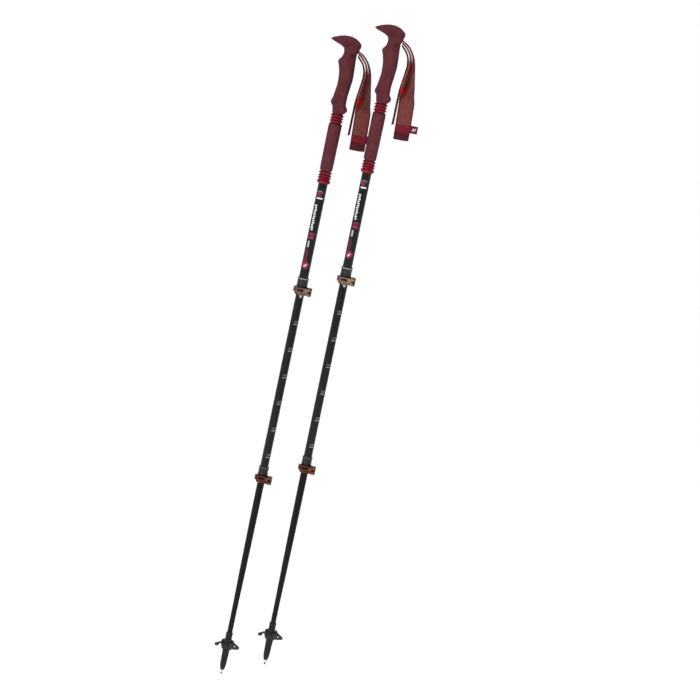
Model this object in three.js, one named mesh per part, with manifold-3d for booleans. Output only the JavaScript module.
// A pair of three-section trekking poles, tips down, hanging as they are held by the grips.
// Millimetres, +Z up along the poles. The origin is on the left pole's axis, where the palm holds it.
// Inside a pole's own group, every height is measured up from the end of that pole's carbide tip.
import * as THREE from 'three';
import { mergeVertices } from 'three/addons/utils/BufferGeometryUtils.js';
import Module from 'manifold-3d';

const wasm = await Module();
wasm.setup();

// ---------- driving dimensions ----------

const HAND_HEIGHT = 1110;
const PAIR_STEP = { x: 74, y: -40, z: 41 };
const UPPER_RADIUS = 8.5;
const MIDDLE_RADIUS = 7.5;
const LOWER_RADIUS = 6.5;
const WALL = 0.8;
const GAP = 0.3;
const SHAFT_STEPS = 20;
const RING_STEPS = 16;

// Heights above the tip where one piece ends and the next begins.
const SHAFT_TOP = 1150;
const UPPER_LOCK = 716;
const MIDDLE_TOP = 800;
const LOWER_LOCK = 362;
const LOWER_TOP = 445;
const FERRULE_TOP = 78.5;
const LOCK_HEIGHT = 14;
const LOWER_RIBS = { bottom: 924.5, top: 947.6, crests: [933.6, 938.2, 943.6] };
const EXTENSION = { bottom: 948, top: 1035.4 };
const UPPER_RIBS = { bottom: 1035.8, top: 1055, crests: [1040, 1045.2, 1050.6] };

// The wrist strap leaves a slot in the back of the head and swings about its mouth.
const HEAD_SLOT = { back: 0, floor: 1162.6, roof: 1179, halfWidth: 8 };
const STRAP_WIDTH = 15.4;
const STRAP_PIN = { x: 4, z: 1167.5, radius: 1.5 };
const WEBBING = 1.6;
const STRAP_END = 995.2;
const TAIL_TURN = 8;

// ---------- colours ----------

const FOAM = { color: 0x5e3036, roughness: 0.85, metalness: 0 };
const RUBBER = { color: 0x8a2233, roughness: 0.55, metalness: 0 };
const CARBON = { color: 0x2f2f31, roughness: 0.35, metalness: 0.1 };
const NYLON = { color: 0x343436, roughness: 0.55, metalness: 0 };
const ANODISED = { color: 0x7a4a3e, roughness: 0.35, metalness: 0.8 };
const STEEL = { color: 0xb9b9bb, roughness: 0.3, metalness: 1 };
const CARBIDE = { color: 0x4a4a4c, roughness: 0.4, metalness: 1 };
const PAD_FABRIC = { color: 0x7b4643, roughness: 0.95, metalness: 0 };
const TAPE = { color: 0x3a0d14, roughness: 0.9, metalness: 0 };
const LABEL = { color: 0x6e0f35, roughness: 0.9, metalness: 0 };

// ---------- solids ----------

function signedVolume(position, index) {
  const corners = [0, 1, 2].map(() => new THREE.Vector3());
  let volume = 0;
  for (let i = 0; i < index.length; i += 3) {
    corners.forEach((corner, k) => corner.fromBufferAttribute(position, index[i + k]));
    volume += corners[0].dot(corners[1].cross(corners[2]));
  }
  return volume;
}

// Turns a three.js geometry into a solid whose faces point out.
function solid(geometry) {
  const bare = geometry.index ? geometry.clone() : geometry;
  bare.deleteAttribute('normal');
  bare.deleteAttribute('uv');
  const merged = mergeVertices(bare, 1e-4);
  const position = merged.getAttribute('position');
  const index = [];
  const all = Array.from(merged.index.array);
  for (let i = 0; i < all.length; i += 3) {
    const [a, b, c] = all.slice(i, i + 3);
    if (a !== b && b !== c && c !== a) index.push(a, b, c);
  }
  if (signedVolume(position, index) < 0) index.reverse();
  const mesh = new wasm.Mesh({
    numProp: 3,
    vertProperties: Float32Array.from(position.array),
    triVerts: Uint32Array.from(index),
  });
  return new wasm.Manifold(mesh);
}

function geometryOf(body) {
  const mesh = body.getMesh();
  const geometry = new THREE.BufferGeometry();
  geometry.setAttribute('position', new THREE.BufferAttribute(mesh.vertProperties.slice(), 3));
  geometry.setIndex(Array.from(mesh.triVerts));
  geometry.computeVertexNormals();
  return geometry;
}

// A turned piece about the pole's axis, from [radius, height] points.
function turned(outline, steps = RING_STEPS) {
  const points = outline.map(([radius, height]) => new THREE.Vector2(radius, height));
  return solid(new THREE.LatheGeometry(points, steps).rotateX(Math.PI / 2));
}

function tube(outer, inner, bottom, top, steps = SHAFT_STEPS) {
  return turned([[inner, bottom], [outer, bottom], [outer, top], [inner, top], [inner, bottom]], steps);
}

function rod(radius, bottom, top, steps = SHAFT_STEPS) {
  return turned([[0, bottom], [radius, bottom], [radius, top], [0, top]], steps);
}

function block(low, high) {
  const size = high.map((value, k) => value - low[k]);
  const box = new THREE.BoxGeometry(...size);
  return solid(box.translate(...low.map((value, k) => value + size[k] / 2)));
}

// A round pin along Y.
function crossPin(radius, x, z, nearY, farY, steps = 12) {
  const pin = new THREE.CylinderGeometry(radius, radius, farY - nearY, steps);
  return solid(pin.translate(x, (nearY + farY) / 2, z));
}

// A plan outline in X and Y, raised from one height to another.
function raised(shape, bottom, top, curveSegments = 6) {
  const options = { depth: top - bottom, bevelEnabled: false, curveSegments };
  return solid(new THREE.ExtrudeGeometry(shape, options).translate(0, 0, bottom));
}

// A side outline in X and Z, drawn out evenly to both sides of the pole's axis along Y.
function drawnAcross(shape, halfWidth) {
  const options = { depth: 2 * halfWidth, bevelEnabled: false, curveSegments: 6 };
  const geometry = new THREE.ExtrudeGeometry(shape, options).rotateX(Math.PI / 2);
  return solid(geometry.translate(0, halfWidth, 0));
}

function outlineOf(points) {
  return new THREE.Shape(points.map(([a, b]) => new THREE.Vector2(a, b)));
}

function mesh(name, body, finish) {
  const result = new THREE.Mesh(geometryOf(body), new THREE.MeshStandardMaterial(finish));
  result.name = name;
  return result;
}

// ---------- grip ----------

// The grip seen from the side, as [x, height]: the finger side with its horn, then the palm side.
const FINGER_SIDE = [
  [-10.6, 1055.5], [-12.6, 1066.5], [-17.1, 1074.7], [-14.8, 1083], [-13.5, 1092.6], [-11.7, 1110],
  [-12.8, 1126.8], [-15.5, 1139.9], [-18.7, 1150], [-13.6, 1158], [-11.6, 1166.7], [-13.1, 1174.1],
  [-19.3, 1178.9], [-27.9, 1182], [-39.2, 1187.2], [-31, 1192], [-16, 1197],
];
const PALM_SIDE = [
  [11.4, 1055.5], [15.8, 1062.5], [11.6, 1071.6], [11.2, 1082.8], [12.8, 1102.7], [14.4, 1122.4],
  [13.7, 1140.4], [12.6, 1158.5], [13, 1166], [15.5, 1171], [16.9, 1177.6], [17.3, 1184.4],
  [11.5, 1191], [-1, 1197],
];

// Half its width from the front, by height, and half its width from above, by place front to back.
const GRIP_WIDTH = [
  [11.5, 1055.5], [14, 1063], [13.2, 1076], [12.8, 1092], [13.8, 1118],
  [14.5, 1150], [16.2, 1172], [15.8, 1187], [9, 1197],
];
const HEAD_PLAN = [[-41, 4], [-34, 7.5], [-24, 11.5], [-12, 17], [12, 17], [18, 12.5]];

// The value that a list of [value, height] points holds at a height.
function valueAt(points, height) {
  const next = Math.max(1, points.findIndex(([, level]) => level >= height));
  const [[a, low], [b, high]] = points.slice(next - 1, next + 1);
  return THREE.MathUtils.mapLinear(height, low, high, a, b);
}

// A closed column whose cross-sections are rounded boxes between the two side outlines.
function lofted(frontSide, backSide, halfWidths, heights, squareness, steps) {
  const drum = [[0, heights[0]], ...heights.map((height) => [1, height]), [0, heights.at(-1)]];
  const points = drum.map(([radius, height]) => new THREE.Vector2(radius, height));
  const geometry = new THREE.LatheGeometry(points, steps).rotateX(Math.PI / 2);
  const position = geometry.getAttribute('position');
  const bulge = (value) => Math.sign(value) * Math.abs(value) ** squareness;
  for (let i = 0; i < position.count; i += 1) {
    const height = position.getZ(i);
    const front = valueAt(frontSide, height);
    const back = valueAt(backSide, height);
    const x = (front + back) / 2 + bulge(position.getX(i)) * (back - front) / 2;
    position.setXYZ(i, x, bulge(position.getY(i)) * valueAt(halfWidths, height), height);
  }
  return solid(geometry);
}

function gripFoam() {
  const levels = [...FINGER_SIDE, ...PALM_SIDE.slice(1, 3), ...PALM_SIDE.slice(8, -1)];
  const heights = levels.map(([, height]) => height).sort((a, b) => a - b);
  const spaced = heights.filter((height, k) => k === 0 || height - heights[k - 1] > 1.5);
  const body = lofted(FINGER_SIDE, PALM_SIDE, GRIP_WIDTH, spaced, 0.62, 16);
  const far = HEAD_PLAN.map(([x, halfWidth]) => [x, -halfWidth]).reverse();
  const plan = raised(outlineOf([...HEAD_PLAN, ...far]), 1050, 1200);
  const bore = rod(UPPER_RADIUS + GAP, 1050, 1158);
  const pocket = block([-6.3, -10.5, 1156], [9.8, 10.5, 1182.3]);
  const mouth = block([8, -HEAD_SLOT.halfWidth, HEAD_SLOT.floor], [22, HEAD_SLOT.halfWidth, HEAD_SLOT.roof]);
  return body.intersect(plan).subtract(bore).subtract(pocket).subtract(mouth);
}

// Rubber rings between the foam pieces: crests on a narrower sleeve.
function ribbed({ bottom, top, crests }, sleeve, crest, foot = []) {
  const outline = [[UPPER_RADIUS + GAP, bottom], ...foot];
  if (!foot.length) outline.push([sleeve, bottom]);
  crests.forEach((height, k) => {
    outline.push([crest, height - 1], [crest, height + 1]);
    const next = crests[k + 1];
    if (next) outline.push([sleeve, (height + next) / 2]);
  });
  outline.push([sleeve, top], [UPPER_RADIUS + GAP, top], [UPPER_RADIUS + GAP, bottom]);
  return turned(outline);
}

function gripExtension() {
  const inner = UPPER_RADIUS + GAP;
  const { bottom, top } = EXTENSION;
  return turned([
    [inner, bottom], [10.6, bottom], [11.65, bottom + 1.5], [12.2, top - 2.4], [10.9, top],
    [inner, top], [inner, bottom],
  ]);
}

// A nylon block plugs the shaft's top and carries the strap pin between its cheeks.
function strapBlock() {
  const inner = UPPER_RADIUS - WALL - GAP;
  const plug = rod(inner, SHAFT_TOP - 30, SHAFT_TOP + 8);
  const { back, floor, roof, halfWidth } = HEAD_SLOT;
  const box = block([-6, -10.2, 1156.3], [9.5, 10.2, 1182]);
  const slot = block([back, -halfWidth, floor], [14, halfWidth, roof]);
  const hole = crossPin(STRAP_PIN.radius + GAP, STRAP_PIN.x, STRAP_PIN.z, -15, 15);
  return plug.add(box).subtract(slot).subtract(hole);
}

// Webbing wrapped round the pin inside the head.
function strapAnchor() {
  const { x, z, radius } = STRAP_PIN;
  const inner = radius + GAP;
  const outer = inner + WEBBING;
  const shape = new THREE.Shape();
  shape.moveTo(9.5, z - outer);
  shape.lineTo(x, z - outer);
  shape.absarc(x, z, outer, -Math.PI / 2, Math.PI / 2, true);
  shape.lineTo(9.5, z + outer);
  shape.lineTo(9.5, z + inner);
  shape.lineTo(x, z + inner);
  shape.absarc(x, z, inner, Math.PI / 2, -Math.PI / 2, false);
  shape.lineTo(9.5, z - inner);
  shape.closePath();
  return drawnAcross(shape, STRAP_WIDTH / 2);
}

// A wedge above the webbing locks the strap's length. It pulls back towards the slot's mouth.
function strapWedge() {
  return drawnAcross(outlineOf([[1, 1178.6], [13, 1178.6], [13, 1174.9], [1, 1176.8]]), STRAP_WIDTH / 2);
}

// ---------- wrist strap ----------

// Stations along a strap: x, y, height, width, thickness, and turn from edge-on to flat-on in degrees.
const PAD_RUN = [
  [15.2, 0, 1171.8, STRAP_WIDTH, 2.2, 0], [22.3, 0, 1168.4, STRAP_WIDTH, 2.4, 0],
  [30.8, 0, 1161, 16, 2.6, 0], [38, 0, 1149.6, 17, 3, 3], [42.4, -0.4, 1136, 19, 3.4, 9],
  [45.4, -2, 1112, 22, 3.8, 17], [46.5, -3, 1100, 23.5, 4, 21], [47.2, -3.6, 1088, 25.5, 4, 28],
  [46, -4.4, 1075, 27, 4, 46], [45.1, -5, 1062, 28, 4, 80], [45.9, -5, 1040, 28, 4, 90],
  [46.9, -5, 1018, 28, 3.4, 90], [47.3, -4.6, 1001, 27.5, 2.4, 90], [47.5, -0.5, STRAP_END, 27.5, 2.2, 90],
  [47.3, 3.7, 1000.6, 27.5, WEBBING, 90],
];
const BACK_RUN = [
  [15.2, 0, 1168.3, STRAP_WIDTH, WEBBING, 0], [20.7, 0, 1164.8, STRAP_WIDTH, WEBBING, 0],
  [28, 0, 1157.6, 16, WEBBING, 0], [33.2, 0, 1149, 17, WEBBING, 3], [36.5, 0.2, 1136, 19, WEBBING, 10],
  [37.8, 1.4, 1112, 23, WEBBING, 30], [38.2, 2, 1088, 26, WEBBING, 44], [41.6, 3.6, 1075, 27, WEBBING, 64],
  [44.2, 4.2, 1062, 28, WEBBING, 86], [45.6, 4.2, 1040, 27, WEBBING, 90], [47, 4, 1018, 26, WEBBING, 90],
  [47.3, 3.8, 1001.3, 26, WEBBING, 90],
];
const TAIL_RUN = [
  [15.2, 0, 1164.3], [18.9, 0, 1160.3], [24.1, 0, 1155], [29.6, 0, 1145], [32.2, 0, 1133],
  [31.8, 0, 1119], [29.8, -0.6, 1102], [28, -1, 1086], [27.5, -1, 1066], [27.4, -1, 1044],
  [27.4, -1, 1018],
].map((place, k) => [...place, STRAP_WIDTH, WEBBING, TAIL_TURN * THREE.MathUtils.smoothstep(k, 2, 5)]);

// A flat strap swept through its stations, with its width turning about the way it runs.
function ribbon(stations, stepsEach = 2) {
  const curve = new THREE.CatmullRomCurve3(stations.map(([x, y, z]) => new THREE.Vector3(x, y, z)));
  const steps = (stations.length - 1) * stepsEach;
  const strip = new THREE.BoxGeometry(1, 1, 1, 1, 1, steps);
  const position = strip.getAttribute('position');
  const along = new THREE.Vector3();
  const out = new THREE.Vector3();
  const point = new THREE.Vector3();
  const across = new THREE.Vector3();
  for (let i = 0; i < position.count; i += 1) {
    const share = position.getZ(i) + 0.5;
    const place = share * (stations.length - 1);
    const first = Math.min(Math.floor(place), stations.length - 2);
    const [width, thickness, turn] = [3, 4, 5].map((column) => THREE.MathUtils.lerp(
      stations[first][column], stations[first + 1][column], place - first));
    curve.getTangent(share, along);
    const angle = THREE.MathUtils.degToRad(turn);
    across.set(-along.z * Math.sin(angle), Math.cos(angle), along.x * Math.sin(angle));
    across.addScaledVector(along, -across.dot(along)).normalize();
    out.crossVectors(along, across);
    curve.getPoint(share, point);
    point.addScaledVector(across, position.getX(i) * width);
    point.addScaledVector(out, position.getY(i) * thickness);
    position.setXYZ(i, point.x, point.y, point.z);
  }
  return solid(strip);
}

// One length of webbing: the loop's inner run and the free tail meet at the slot's mouth.
function strapWebbing() {
  const root = block([14.8, -7, 1163.9], [16, 7, 1168.6]);
  return ribbon(BACK_RUN).add(ribbon(TAIL_RUN)).add(root);
}

function strapLabel() {
  return block([61.5, -5.6, 1011], [74, -4.6, 1025]);
}

// ---------- locks ----------

// Plan places of a lock on a shaft: band, ears, cam pin and lever, all set by the shaft's radius.
function lockPlan(shaftRadius) {
  const bandInner = shaftRadius + GAP;
  const bandOuter = bandInner + 2;
  const ear = { near: 1, far: 4.6, reach: bandOuter + 9 };
  const camRadius = 4;
  return {
    bandInner,
    bandOuter,
    ear,
    camRadius,
    pin: { x: bandOuter + 4.9, y: -(ear.far + GAP + camRadius), radius: 2.5 },
    leverInner: bandOuter + 0.5,
    leverOuter: bandOuter + 2.6,
    screwRadius: 1.3,
  };
}

function clampBand(plan, bottom) {
  const top = bottom + LOCK_HEIGHT;
  const band = tube(plan.bandOuter, plan.bandInner, bottom, top);
  const ears = block([plan.bandInner + 0.6, -plan.ear.far, bottom], [plan.ear.reach, plan.ear.far, top]);
  const slit = block([0, -plan.ear.near, bottom - 1], [plan.ear.reach + 1, plan.ear.near, top + 1]);
  const middle = (bottom + top) / 2;
  const hole = crossPin(plan.screwRadius + GAP, plan.pin.x, middle, -plan.ear.far - 1, plan.ear.far + 1, 10);
  const inside = rod(plan.bandInner, bottom - 1, top + 1);
  return band.add(ears.subtract(inside)).subtract(slit).subtract(hole);
}

function camPin(plan, bottom) {
  const pin = rod(plan.pin.radius, bottom + 0.8, bottom + LOCK_HEIGHT - 0.8, 14);
  const middle = bottom + LOCK_HEIGHT / 2;
  const placed = pin.translate([plan.pin.x, plan.pin.y, 0]);
  const hole = crossPin(plan.screwRadius + GAP, plan.pin.x, middle, plan.pin.y - 5, plan.pin.y + 5, 10);
  return placed.subtract(hole);
}

// The lever runs from its cam across the front of the band and curls round to a thumb tab.
function lever(plan, bottom) {
  const { pin, camRadius, leverInner, leverOuter } = plan;
  const tab = THREE.MathUtils.degToRad(172);
  const inside = THREE.MathUtils.degToRad(-58);
  const front = -Math.PI / 2;
  const shape = new THREE.Shape();
  shape.moveTo(leverInner * Math.cos(tab), leverInner * Math.sin(tab));
  shape.lineTo(leverOuter * Math.cos(tab), leverOuter * Math.sin(tab));
  shape.absarc(0, 0, leverOuter, tab, front, false);
  shape.lineTo(pin.x, pin.y - camRadius);
  shape.absarc(pin.x, pin.y, camRadius, front, Math.PI, false);
  shape.lineTo(leverInner * Math.cos(inside), leverInner * Math.sin(inside));
  shape.absarc(0, 0, leverInner, inside, tab, true);
  const low = bottom + 0.75;
  const high = bottom + LOCK_HEIGHT - 0.75;
  const middle = (low + high) / 2;
  const bore = rod(pin.radius + GAP, low - 1, high + 1, 14).translate([pin.x, pin.y, 0]);
  const screwWay = block([pin.x - 2.2, pin.y - 9, middle - 2.1], [pin.x + 9, pin.y + 9, middle + 2.1]);
  const underTab = block([-leverOuter - 1, -9, low - 1], [-leverInner + 2, 9, low + 2.4]);
  return raised(shape, low, high, 7).subtract(bore).subtract(screwWay).subtract(underTab);
}

function tensionScrew(plan, bottom) {
  const middle = bottom + LOCK_HEIGHT / 2;
  const face = plan.ear.far + GAP;
  const shank = crossPin(plan.screwRadius, plan.pin.x, middle, plan.pin.y - 2.2, face + 1, 10);
  return shank.add(crossPin(3.4, plan.pin.x, middle, face, face + 3.6, 10));
}

function lockCollar(shaftRadius, bottom, height, flare) {
  const inner = shaftRadius + GAP;
  const foot = shaftRadius + 1.7;
  return turned([
    [inner, bottom], [foot, bottom], [foot, bottom + height - 4], [foot + flare, bottom + height - 3],
    [foot + flare, bottom + height - 0.8], [foot + flare - 0.8, bottom + height], [inner, bottom + height],
    [inner, bottom],
  ]);
}

// ---------- shafts ----------

// A carbon tube whose lower end is slit where its lock squeezes it.
function slitShaft(radius, bottom, top) {
  const slit = block([0, -0.8, bottom - 1], [radius + 1, 0.8, bottom + 30]);
  return tube(radius, radius - WALL, bottom, top).subtract(slit);
}

function endPlug(radius, top) {
  const inner = radius - WALL - GAP;
  return turned([[0, top - 14], [inner, top - 14], [inner, top], [0, top]], 16)
    .add(rod(radius, top + GAP, top + 2.3).add(rod(inner - 1, top - 1, top + 1, 16)));
}

function lowerShaft() {
  const neck = 4.8;
  const outside = [
    [neck, 56], [neck, 108], [5.6, 190], [LOWER_RADIUS - 0.2, 285], [LOWER_RADIUS, 350],
    [LOWER_RADIUS, LOWER_TOP],
  ];
  const inside = [[LOWER_RADIUS - WALL, LOWER_TOP], [LOWER_RADIUS - WALL, 350], [neck - WALL, 108]];
  return turned([[neck - WALL, 56], ...outside, ...inside, [neck - WALL, 56]], SHAFT_STEPS);
}

// ---------- tip ----------

function tipFerrule() {
  return turned([
    [0, 20], [2.3, 20], [2.3, 8.8], [3.5, 8.8], [5.75, 20.5], [5.95, 29], [6.55, 45.7], [6.1, 66],
    [6.1, 75], [6.55, 76.2], [6.3, FERRULE_TOP], [5.1, FERRULE_TOP], [5.1, 55.5], [0, 55.5],
  ]);
}

function tipHolder() {
  return turned([
    [0, 8.4], [1.8, 8.4], [1.8, 3.4], [2.2, 3.4], [3.2, 8.5], [2, 8.5], [2, 19.7], [0, 19.7],
  ], 16);
}

function carbideTip() {
  return turned([[0, 0], [1.1, 0], [1.5, 0.9], [1.5, 8.1], [0, 8.1]], 16);
}

// The basket's plate from above: a broad lobe that runs on into an arm, which curls round to a point.
function basketPlate() {
  const rim = 23;
  const skirt = 11;
  const arm = 17;
  const [start, notch, bend, tip] = [-74, 142, 206, 222].map(THREE.MathUtils.degToRad);
  const plate = new THREE.Shape();
  plate.moveTo(skirt * Math.cos(start), skirt * Math.sin(start));
  plate.lineTo((rim - 3) * Math.cos(start), (rim - 3) * Math.sin(start));
  plate.absarc(0, 0, rim, start + 0.16, bend, false);
  plate.lineTo((rim - 2) * Math.cos(tip), (rim - 2) * Math.sin(tip));
  plate.absarc(0, 0, arm, tip - 0.14, notch, true);
  plate.absarc(0, 0, skirt, notch, 2 * Math.PI + start, false);
  const drain = new THREE.Path();
  drain.absellipse(13.5, -10.5, 3, 2.3, 0, 2 * Math.PI, true, Math.atan2(-10.5, 13.5));
  plate.holes.push(drain);
  return plate;
}

// A trekking basket: a stepped hub that turns on the ferrule, with a plate whose arm makes a hook.
function basket() {
  const bore = 6.95;
  const hub = turned([
    [bore, 47], [8.6, 47], [11.4, 53], [12, 57.6], [11, 58.8], [12, 60.2], [12, 63.8], [9.8, 65],
    [bore, 65], [bore, 47],
  ]);
  const cone = turned([[10.5, 59.6], [23.2, 52], [23.2, 53.7], [10.5, 61.5], [10.5, 59.6]], SHAFT_STEPS);
  const plate = cone.intersect(raised(basketPlate(), 50, 64, 7));
  return hub.add(plate);
}

// ---------- one pole ----------

function upperSection() {
  const { bottom } = LOWER_RIBS;
  const endRing = [[11, bottom], [12, bottom + 1.1], [12, bottom + 4.5], [9.8, bottom + 5.7]];
  return {
    grip_foam: [gripFoam(), FOAM],
    upper_ribs: [ribbed(UPPER_RIBS, 9.9, 12), RUBBER],
    grip_extension: [gripExtension(), FOAM],
    lower_ribs: [ribbed(LOWER_RIBS, 9.8, 12.2, endRing), RUBBER],
    upper_shaft: [slitShaft(UPPER_RADIUS, UPPER_LOCK, SHAFT_TOP), CARBON],
    strap_block: [strapBlock(), NYLON],
    strap_pin: [crossPin(STRAP_PIN.radius, STRAP_PIN.x, STRAP_PIN.z, -9.9, 9.9), STEEL],
    strap_anchor: [strapAnchor(), TAPE],
    strap_wedge: [strapWedge(), NYLON],
  };
}

function wristStrap() {
  return {
    strap_pad: [ribbon(PAD_RUN), PAD_FABRIC],
    strap_webbing: [strapWebbing(), TAPE],
    strap_label: [strapLabel(), LABEL],
  };
}

function lock(name, shaftRadius, bottom, collarHeight, collarFlare) {
  const plan = lockPlan(shaftRadius);
  const collar = lockCollar(shaftRadius, bottom + LOCK_HEIGHT + GAP, collarHeight, collarFlare);
  return {
    [`${name}_collar`]: [collar, NYLON],
    [`${name}_clamp`]: [clampBand(plan, bottom), ANODISED],
    [`${name}_cam_pin`]: [camPin(plan, bottom), STEEL],
    [`${name}_lever`]: [lever(plan, bottom), ANODISED],
    [`${name}_screw`]: [tensionScrew(plan, bottom), STEEL],
  };
}

function lowerSections() {
  return {
    middle_shaft: [slitShaft(MIDDLE_RADIUS, LOWER_LOCK, MIDDLE_TOP), CARBON],
    middle_plug: [endPlug(MIDDLE_RADIUS, MIDDLE_TOP), NYLON],
    lower_shaft: [lowerShaft(), CARBON],
    lower_plug: [endPlug(LOWER_RADIUS, LOWER_TOP), NYLON],
    tip_ferrule: [tipFerrule(), NYLON],
    tip_holder: [tipHolder(), STEEL],
    carbide_tip: [carbideTip(), CARBIDE],
    basket: [basket(), NYLON],
  };
}

function pole(side, x, y, z) {
  const pieces = {
    ...upperSection(),
    ...wristStrap(),
    ...lock('upper', UPPER_RADIUS, UPPER_LOCK, 17, 0.3),
    ...lock('lower', MIDDLE_RADIUS, LOWER_LOCK, 15.5, 0.1),
    ...lowerSections(),
  };
  const group = new THREE.Group();
  Object.entries(pieces).forEach(([name, [body, finish]]) => {
    group.add(mesh(`${side}_${name}`, body, finish));
  });
  group.position.set(x, y, z - HAND_HEIGHT);
  return group;
}

const group = new THREE.Group();
group.add(pole('left', 0, 0, 0));
group.add(pole('right', PAIR_STEP.x, PAIR_STEP.y, PAIR_STEP.z));

export default group;
